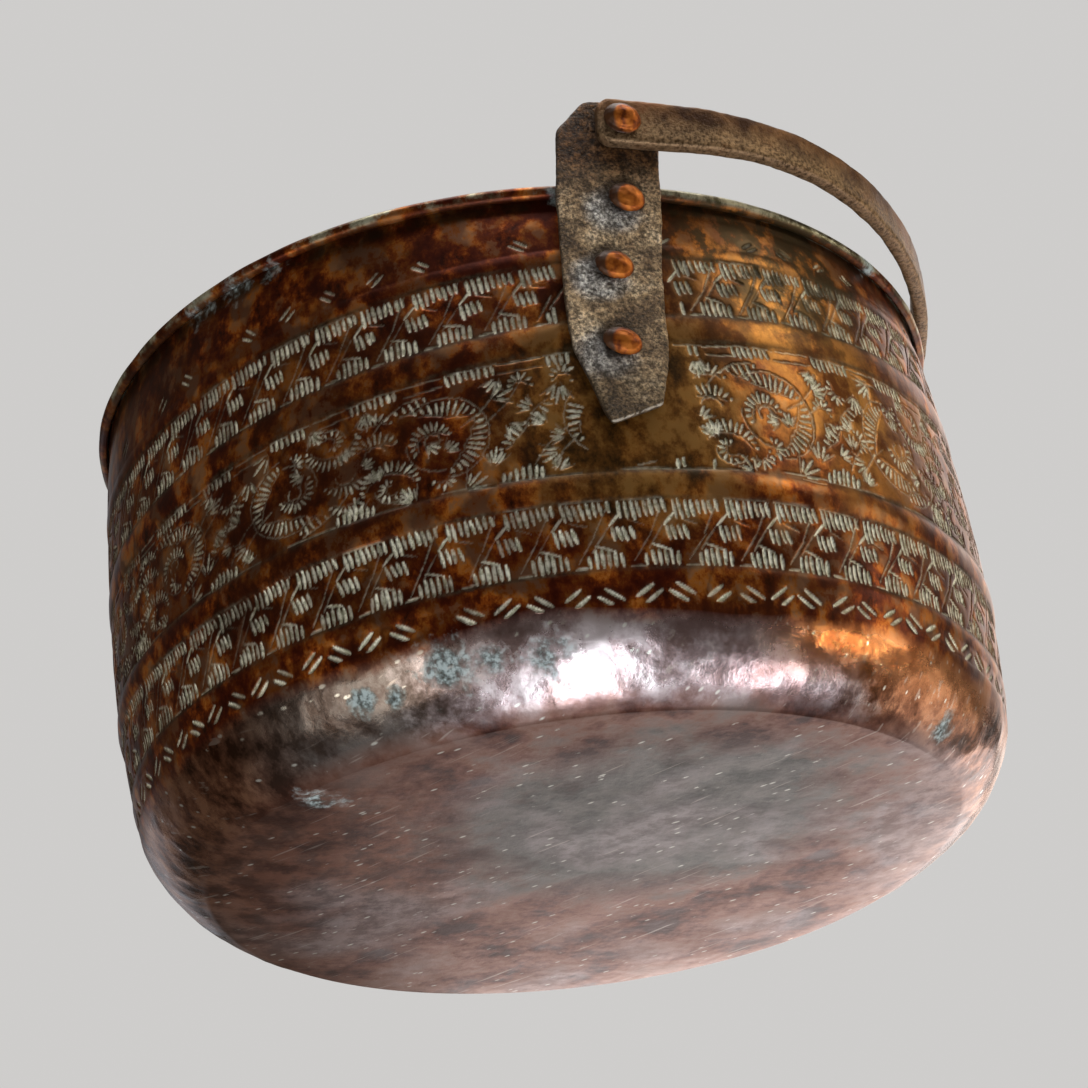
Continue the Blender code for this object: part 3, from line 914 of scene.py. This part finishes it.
# Green crusts: azimuth in degrees, then height, size and distance from the axis in metres
VERDIGRIS_SPOTS = (
    (-29, 0.014, 0.012, 0.124), (-23.5, 0.0145, 0.007, 0.124), (-17, 0.0135, 0.009, 0.123),
    (-40, 0.0125, 0.006, 0.123), (-36, 0.011, 0.005, 0.122), (-56, 0.0, 0.01, 0.104),
    (44, 0.006, 0.007, 0.117), (128, 0.013, 0.013, 0.128), (-120, 0.012, 0.012, 0.128),
    (-58, 0.149, 0.009, 0.128), (-51, 0.148, 0.009, 0.128), (-45, 0.149, 0.008, 0.128),
    (-7, 0.149, 0.008, 0.128), (40, 0.15, 0.008, 0.128), (170, 0.147, 0.014, 0.128),
)


class Copper(Paint):
    """Old copper: blotched red-brown wall, pale patina in the marks, burnished heel, dusty base."""

    def __init__(self):
        super().__init__("old_copper")
        self.runs = self.space((1.0, 1.0, 0.75))
        self.large = self.noise(15.0, 3.0, 0.55)
        self.middle = self.noise(70.0, 6.0, 0.68)
        self.blotch = self.noise(125.0, 5.0, 0.68, space=self.runs)
        self.fine = self.noise(620.0, 3.0)
        self.ragged = self.noise(170.0, 5.0, 0.65)
        self.mottle = 0.62 * self.blotch + 0.38 * self.middle
        self.heel_low = (self.height + 0.012 * self.large).band(0.0275, 0.0235)
        self.base_low = self.height.band(0.0048, 0.0006)
        self.pale = self.attribute("pale")
        self.grime_and_shade = self.attribute("grime_and_shade")

    def wall(self):
        """Red-brown and orange blotches between dark veins, gold and olive in front."""
        bent = new_value(self.tree, "ShaderNodeTexNoise",
                         {"Vector": self.even, "Scale": 130.0, "Detail": 3.0}, "Color")
        veins = self.cells(120.0, mix(0.01, self.runs, bent)).band(0.34, 0.55)
        wall = self.mottle.ramp(
            (0.4, (0.03, 0.006, 0.002)), (0.455, (0.14, 0.024, 0.004)),
            (0.495, (0.34, 0.078, 0.009)), (0.53, (0.54, 0.18, 0.026)), (0.6, (0.46, 0.22, 0.085)),
        )
        wall = mix(0.72 * veins, wall, (0.06, 0.008, 0.003))
        wall = mix(0.45 * self.large.band(0.5, 0.6), wall, (0.05, 0.018, 0.006))
        wall = mix(0.28 * self.blotch.band(0.545, 0.575), wall, (0.17, 0.11, 0.08))
        gold = self.middle.ramp((0.42, (0.16, 0.05, 0.008)), (0.58, (0.58, 0.27, 0.06)))
        gilt = self.spot(28, 0.09, 0.046) | self.spot(20, 0.114, 0.042)
        wall = mix((1.1 * gilt).clamped(), wall, gold)
        olive = self.mottle.ramp(
            (0.42, (0.045, 0.028, 0.008)), (0.49, (0.17, 0.08, 0.018)), (0.56, (0.36, 0.19, 0.05)))
        return mix(0.8 * self.spot(-4, 0.078, 0.044).band(0.0, 0.45), wall, olive)

    def marked(self, wall):
        """Dirt round the ornament with painted shade in the seams along the ridges, and pale patina in its
        marks, fuller in front on the right.
        """
        dirt_and_shade = self.fine.ramp((0.4, (0.012, 0.008, 0.003)), (0.66, (0.075, 0.066, 0.042)))
        # The dark colour goes on the dirt round the marks and on the painted shade of the seams
        wall = mix(0.88 * self.grime_and_shade, wall, dirt_and_shade)
        patina = self.fine.ramp((0.38, (0.5, 0.51, 0.37)), (0.57, (1.0, 1.0, 0.84)))
        filled = self.spot(28, 0.06, 0.15) | self.noise(48.0).band(0.42, 0.56)
        return mix(self.pale * (0.42 + 0.75 * filled).clamped(), wall, patina)

    def heel(self):
        """Brown, dusty on the left, burnished in front and orange on the upper right."""
        heel = self.mottle.ramp(
            (0.42, (0.06, 0.022, 0.01)), (0.5, (0.2, 0.085, 0.048)), (0.58, (0.38, 0.19, 0.11)))
        dusty = self.mottle.ramp(
            (0.42, (0.065, 0.045, 0.036)), (0.5, (0.125, 0.098, 0.086)), (0.57, (0.19, 0.165, 0.15)))
        heel = mix(self.spot(-38, 0.012, 0.06).band(0.05, 0.5), heel, dusty)
        burnished = self.mottle.ramp(
            (0.42, (0.25, 0.17, 0.16)), (0.5, (0.4, 0.31, 0.31)), (0.58, (0.6, 0.52, 0.52)))
        near_front = self.spot(-3, 0.006, 0.088) + 0.8 * self.mottle
        heel = mix(near_front.band(0.62, 0.82), heel, burnished)
        bright = self.mottle.ramp((0.42, (0.34, 0.125, 0.045)), (0.54, (0.56, 0.25, 0.11)))
        warm = (self.spot(33, 0.016, 0.06) + 0.2 * self.mottle).band(0.18, 0.48)
        return mix(warm * self.height.band(0.006, 0.015), heel, bright)

    def base(self):
        """Dusty pink and brown, redder on the left, greyish in the middle, lilac in clouds."""
        stains = self.noise(34.0, 7.0, 0.66)
        base = stains.ramp(
            (0.4, (0.065, 0.024, 0.018)), (0.46, (0.18, 0.072, 0.05)),
            (0.52, (0.29, 0.145, 0.105)), (0.62, (0.38, 0.25, 0.21)),
        )
        russet = self.blotch.ramp((0.42, (0.075, 0.026, 0.015)), (0.58, (0.25, 0.105, 0.065)))
        reddened = self.spot(-85, 0.0, 0.09, 0.095) + 0.9 * stains
        base = mix(0.75 * reddened.band(0.5, 1.1), base, russet)
        greyish = self.middle.ramp((0.4, (0.06, 0.058, 0.05)), (0.6, (0.21, 0.19, 0.175)))
        centre = self.spot(12, 0.0, 0.085, 0.04) + 1.3 * stains
        base = mix(centre.band(0.85, 1.15), base, greyish)
        lilac = self.blotch.ramp((0.42, (0.16, 0.12, 0.12)), (0.58, (0.37, 0.32, 0.32)))
        return mix(0.6 * self.large.band(0.5, 0.62), base, lilac)

    def rim(self, colour):
        """A dark stain beside the front ear, lime on the bead and painted shade in a line under it, broken
        up by noise.
        """
        stain = self.spot(20, 0.14, 0.048).band(0.02, 0.5) * self.mottle.band(0.55, 0.48)
        colour = mix(0.85 * stain, colour, (0.045, 0.034, 0.014))
        weathered = self.middle + 0.16 * self.spot(30, 0.149, 0.075)
        bead = self.height.band(0.1474, 0.1482) * weathered.band(0.49, 0.58)
        limed = self.blotch.ramp((0.42, (0.12, 0.115, 0.065)), (0.56, (0.62, 0.64, 0.48)))
        colour = mix(0.85 * bead, colour, limed)
        # Painted shade: a dark line just under the bead
        shade_under_bead = abs(self.height - 0.1455).band(0.003, 0.0008) * self.middle.band(0.38, 0.5)
        return mix(0.75 * shade_under_bead, colour, (0.022, 0.014, 0.006))

    def specks(self, colour):
        """Pale nicks on the heel and the base."""
        speck = self.cells(230.0, self.space((0.55, 1.5, 1.0), 45)).band(0.17, 0.09)
        speck = speck * self.middle.band(0.47, 0.51) * self.heel_low
        return mix(0.85 * speck, colour, (0.74, 0.73, 0.66))

    def crust(self):
        """Where verdigris has grown: ragged patches inside each spot."""
        green = None
        for place in VERDIGRIS_SPOTS:
            spot = self.spot(*place)
            green = spot if green is None else green | spot
        return (green + 2.2 * self.ragged).band(1.36, 1.92) * green.band(0.03, 0.12)

    def greened(self, colour, crust):
        """Flaky blue-green crusts."""
        flaky = 0.6 * self.fine + 0.4 * self.ragged
        teal = flaky.ramp(
            (0.43, (0.05, 0.056, 0.05)), (0.5, (0.16, 0.205, 0.205)), (0.58, (0.46, 0.56, 0.57)))
        return mix(0.88 * crust, colour, teal)

    def scratched(self, colour):
        """Long fine scratches across the heel and the base."""
        streaks = self.noise(300.0, 2.0, 0.5, space=self.space((0.1, 1.8, 1.0), 52)).band(0.66, 0.71)
        return mix(0.4 * (streaks * self.heel_low), colour, (0.62, 0.54, 0.48))


def copper_material():
    """The vessel's outside, from the parts of the copper paint."""
    copper = Copper()
    colour = mix(copper.heel_low, copper.marked(copper.wall()), copper.heel())
    colour = mix(copper.base_low, colour, copper.base())
    crust = copper.crust()
    colour = copper.scratched(copper.greened(copper.specks(copper.rim(colour)), crust))

    dull = crust | 0.8 * copper.pale | 0.45 * copper.grime_and_shade
    metallic = ((0.28 * copper.heel_low + 0.62) * (1.0 - dull)).clamped()
    rough = 0.2 + 0.3 * copper.middle + 0.17 * copper.base_low - 0.09 * copper.heel_low
    rough = (rough + 0.25 * dull).clamped()
    grain = bump(copper.blotch, 0.35, 0.0004, bump(copper.fine, 0.3, 0.00012))
    return copper.finish(Base_Color=colour, Metallic=metallic, Roughness=rough, Normal=grain,
                         Specular_IOR_Level=0.18)


# -------- other materials


def tin_material():
    """Old tinning: dull grey, stained, with copper showing through where it has worn."""
    paint = Paint("old_tin")
    middle = paint.noise(85.0, 5.0, 0.65, 0.3)
    grey = middle.ramp(
        (0.35, (0.16, 0.15, 0.14)), (0.52, (0.36, 0.35, 0.33)), (0.7, (0.52, 0.51, 0.48)))
    worn = (paint.noise(22.0, 4.0, 0.6, 0.5) + 0.3 * middle).band(0.74, 0.82)
    colour = mix(0.75 * worn, grey, (0.34, 0.13, 0.06))
    colour = mix(0.25 * paint.noise(700.0, 3.0), colour, (0.1, 0.09, 0.08))
    return paint.finish(Base_Color=colour, Metallic=0.85, Roughness=0.32 + 0.35 * middle,
                        Normal=bump(middle, 0.3, 0.0005))


def ear_material():
    """Pitted forged iron: a brown top, a sandy middle with rubbed metal and a painted cool sheen below the
    rivets, a dark foot, painted shade on the left edges and round the rivets, and a painted highlight along
    the lower edge.
    """
    paint = Paint("sandy_iron")
    lumps = paint.noise(420.0, 5.0, 0.7)
    patch = paint.noise(90.0, 5.0, 0.62)
    grit = 0.7 * paint.noise(1150.0, 3.0, 0.65) + 0.3 * lumps
    colour = patch.ramp(
        (0.4, (0.11, 0.072, 0.04)), (0.5, (0.27, 0.2, 0.125)), (0.6, (0.44, 0.36, 0.25)))
    # Cool grey-blue patches below the rivets: rubbed metal and a painted sheen
    rub_and_sheen = (paint.attribute("rub_and_sheen") + 1.4 * patch).band(0.8, 1.45)
    cool = lumps.ramp((0.42, (0.2, 0.22, 0.24)), (0.58, (0.52, 0.56, 0.6)))
    colour = mix(0.8 * rub_and_sheen, colour, cool)
    level = paint.attribute("height") + 0.25 * patch
    scale = lumps.ramp((0.42, (0.03, 0.012, 0.005)), (0.58, (0.115, 0.055, 0.022)))
    colour = mix(0.95 * level.band(0.78, 0.93), colour, scale)
    colour = mix(0.75 * level.band(0.38, 0.2), colour, (0.06, 0.042, 0.024))
    speckle = grit.ramp(
        (0.4, (0.3, 0.28, 0.26)), (0.5, (0.95, 0.92, 0.9)), (0.6, (2.1, 2.05, 1.95)))
    colour = mix(1.0, colour, speckle, "MULTIPLY")
    # Painted shade on the left edges and round the rivets
    colour = mix(0.8 * paint.attribute("dark"), colour, (0.022, 0.011, 0.005))
    # Painted highlight: a pale line along the lower edge
    lip_highlight = paint.attribute("lip_highlight") * lumps.band(0.4, 0.5)
    colour = mix(0.85 * lip_highlight, colour, (0.6, 0.55, 0.47))
    return paint.finish(Base_Color=colour, Metallic=0.55 * patch.band(0.36, 0.58), Roughness=0.44,
                        Normal=bump(grit, 1.0, 0.0011), Specular_IOR_Level=0.3)


def bail_material():
    """Forged iron with a brown patina, sandy and lighter on its lower half as painted light from below, and
    lighter along its edges as wear and a painted highlight.
    """
    paint = Paint("brown_iron")
    fine = paint.noise(900.0, 4.0, 0.7)
    patch = paint.noise(60.0, 5.0, 0.65)
    brown = patch.ramp(
        (0.4, (0.045, 0.018, 0.007)), (0.5, (0.13, 0.063, 0.026)), (0.6, (0.22, 0.115, 0.05)))
    sandy = fine.ramp((0.4, (0.08, 0.05, 0.026)), (0.6, (0.42, 0.29, 0.165)))
    # Painted light: the lower half of the strip is lighter and sandy
    low = (paint.attribute("across") + 1.2 * patch).band(0.8, 1.35)
    colour = mix(0.75 * low, brown, sandy)
    colour = mix(0.5 * patch.band(0.55, 0.63), colour, (0.15, 0.045, 0.012))
    # Lighter narrow edges: wear and a painted highlight
    worn = paint.attribute("edge") * fine.band(0.34, 0.56)
    colour = mix(0.45 * worn, colour, (0.36, 0.22, 0.125))
    return paint.finish(Base_Color=colour, Metallic=0.7, Roughness=0.32 + 0.28 * fine,
                        Normal=bump(fine, 0.7, 0.0004), Specular_IOR_Level=0.25)


def rivet_material():
    """Worn orange copper, with painted shade towards the head's edge, most on its upper left."""
    paint = Paint("rivet_copper_worn")
    middle = paint.noise(330.0)
    colour = middle.ramp(
        (0.36, (0.14, 0.03, 0.005)), (0.46, (0.33, 0.08, 0.008)), (0.6, (0.52, 0.16, 0.02)))
    # Painted shade round the head's edge, broken up by noise
    rim = (paint.attribute("rim") + 0.8 * middle).band(0.55, 1.1)
    colour = mix(0.9 * rim, colour, (0.03, 0.013, 0.006))
    return paint.finish(Base_Color=colour, Metallic=0.65 - 0.5 * rim, Roughness=0.26 + 0.35 * middle,
                        Normal=bump(middle, 0.35, 0.0003))


def wire_material():
    """Dull iron wire."""
    paint = Paint("wire_iron_dull")
    colour = paint.noise(400.0).ramp((0.35, (0.06, 0.05, 0.045)), (0.65, (0.2, 0.17, 0.15)))
    return paint.finish(Base_Color=colour, Metallic=0.8, Roughness=0.6)


def floor_material():
    """A pale floor that glows a little and is seen only from above."""
    paint = Paint("pale_floor")
    colour = paint.noise(9.0, 3.0, 0.5).ramp((0.3, (0.118, 0.116, 0.113)), (0.7, (0.124, 0.122, 0.119)))
    material = paint.finish(Base_Color=colour, Roughness=0.9, Emission_Color=colour, Emission_Strength=4.0)
    tree = paint.tree
    below = new_value(tree, "ShaderNodeNewGeometry", {}, "Backfacing")
    pale = Value(tree, tree.nodes["Principled BSDF"].outputs[0])
    clear = new_value(tree, "ShaderNodeBsdfTransparent", {})
    mixed = add_node(tree, "ShaderNodeMixShader", {0: below, 1: pale, 2: clear})
    tree.links.new(mixed.outputs[0], tree.nodes["Material Output"].inputs["Surface"])
    return material


# -------- stage


def build_floor():
    """The floor that the kettle stands on. Only the camera sees it, so it doesn't block the low lamps."""
    bpy.ops.mesh.primitive_plane_add(size=8.0, location=(0, 0, -FLOOR_DROP))
    floor = bpy.context.object
    floor.name = "studio_floor"
    floor.data.materials.append(floor_material())
    floor.visible_shadow = False
    floor.visible_glossy = False
    floor.visible_diffuse = False


def build_world():
    """A pale backdrop for the camera, and a dim surround, brighter below, for the metal to reflect."""
    world = bpy.data.worlds.new("studio")
    bpy.context.scene.world = world
    world.use_nodes = True
    tree = world.node_tree
    tree.nodes.clear()
    seen = new_value(tree, "ShaderNodeBackground", {"Color": (0.62, 0.61, 0.6)})
    place = new_value(tree, "ShaderNodeTexCoord", {}, "Generated")
    upward = new_value(tree, "ShaderNodeSeparateXYZ", {"Vector": place}, "Z")
    tint = mix(upward.band(-0.45, -0.92), (0.075, 0.06, 0.046), (0.36, 0.36, 0.37))
    felt = new_value(tree, "ShaderNodeBackground", {"Color": tint})
    camera_ray = new_value(tree, "ShaderNodeLightPath", {}, "Is Camera Ray")
    mixed = new_value(tree, "ShaderNodeMixShader", {0: camera_ray, 1: felt, 2: seen})
    add_node(tree, "ShaderNodeOutputWorld", {"Surface": mixed})


# Window-like lamps below and beside the kettle, wide ones behind it, and one overhead: name, azimuth
# and elevation in degrees, distance, width and height in metres, power in watts, colour
LAMPS = (
    ("window_low", -7, -58, 0.8, (0.17, 0.44), 2.3, (0.86, 0.93, 1.0)),
    ("glint_low", 50, -50, 0.85, (0.13, 0.22), 0.75, (1.0, 0.95, 1.0)),
    ("streak_right", 58, -21, 0.85, (0.2, 0.015), 0.42, (1.0, 0.84, 0.6)),
    ("fill_right", 97, -24, 1.0, (0.5, 0.4), 1.1, (1.0, 0.9, 0.8)),
    ("window_right", 69, 3, 0.95, (0.07, 0.52), 1.2, (1.0, 0.86, 0.66)),
    ("fill_left", -62, -34, 1.1, (0.6, 0.5), 2.5, (1.0, 0.91, 0.8)),
    ("warm_right", 52, 34, 0.9, (0.2, 0.24), 1.1, (1.0, 0.88, 0.66)),
    ("back_right", 133, 24, 1.1, (0.9, 0.7), 4.0, (1.0, 0.86, 0.78)),
    ("back_left", -168, 24, 1.2, (0.5, 0.5), 0.25, (0.82, 0.9, 1.0)),
    ("low_left", -158, 0, 1.1, (0.6, 0.4), 0.45, (0.8, 0.88, 1.0)),
    ("under_back", 146, -12, 1.1, (1.0, 0.5), 4.3, (1.0, 0.95, 0.94)),
    ("overhead", 20, 80, 1.3, (1.2, 1.2), 14.0, (1.0, 0.95, 0.9)),
)


def soft_box(name, azimuth, elevation, distance, size, power, colour):
    """A soft lamp aimed at the kettle's middle from a direction given in degrees."""
    a, e = math.radians(azimuth), math.radians(elevation)
    towards = Vector((math.sin(a) * math.cos(e), -math.cos(a) * math.cos(e), math.sin(e)))
    data = bpy.data.lights.new(name, "AREA")
    data.shape = "RECTANGLE"
    data.size, data.size_y = size
    data.energy = power
    data.color = colour
    lamp = add_to_scene(data)
    lamp.location = Vector((0, 0, LAMP_TARGET_HEIGHT)) + towards * distance
    lamp.rotation_euler = towards.to_track_quat("Z", "Y").to_euler()
    lamp.visible_camera = False


def build_camera():
    """The camera stands low in front of the kettle, looks up at it and is rolled a little."""
    azimuth, pitch, roll = (math.radians(a) for a in (CAMERA_AZIMUTH, CAMERA_PITCH, CAMERA_ROLL))
    place = Vector((math.sin(azimuth) * CAMERA_RANGE, -math.cos(azimuth) * CAMERA_RANGE, CAMERA_HEIGHT))
    level = math.cos(pitch)
    ahead = Vector((-math.sin(azimuth) * level, math.cos(azimuth) * level, math.sin(pitch)))
    data = bpy.data.cameras.new("camera")
    data.lens, data.sensor_width = CAMERA_LENS, CAMERA_SENSOR
    data.clip_start, data.clip_end = 0.01, 50.0
    camera = add_to_scene(data)
    facing = ahead.to_track_quat("-Z", "Y").to_matrix()
    camera.rotation_euler = (facing @ Matrix.Rotation(-roll, 3, "Z")).to_euler()
    camera.location = place
    bpy.context.scene.camera = camera
    bpy.context.scene.view_settings.view_transform = "Standard"


# -------- assembly


def place_piece(piece, body, materials, nodes):
    """Gives a piece its materials, and puts it on its body in place of CAD nodes."""
    for material in materials:
        piece.data.materials.append(material)
    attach(piece, body)
    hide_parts(*nodes)


def main():
    """Builds every piece, then the stage."""
    sandy, brown, rivet = ear_material(), bail_material(), rivet_material()
    skin = build_vessel_skin()
    place_piece(skin, "kettle", [copper_material(), tin_material()], ["vessel"])
    place_piece(build_wire_ring(), "kettle", [wire_material()], ["rim_wire"])
    seed = SEED
    for end in ("front", "rear"):
        place_piece(build_ear(end), "kettle", [sandy], [end + "_ear"])
        for key in ("top", "middle", "bottom", "pivot"):
            seed += 1
            node = f"{end}_{key}_rivet"
            place_piece(build_rivet(node, seed), "kettle", [rivet], [node])
    place_piece(build_bail(), "bail", [brown], ["bail"])
    build_floor()
    build_world()
    for lamp in LAMPS:
        soft_box(*lamp)
    build_camera()


main()
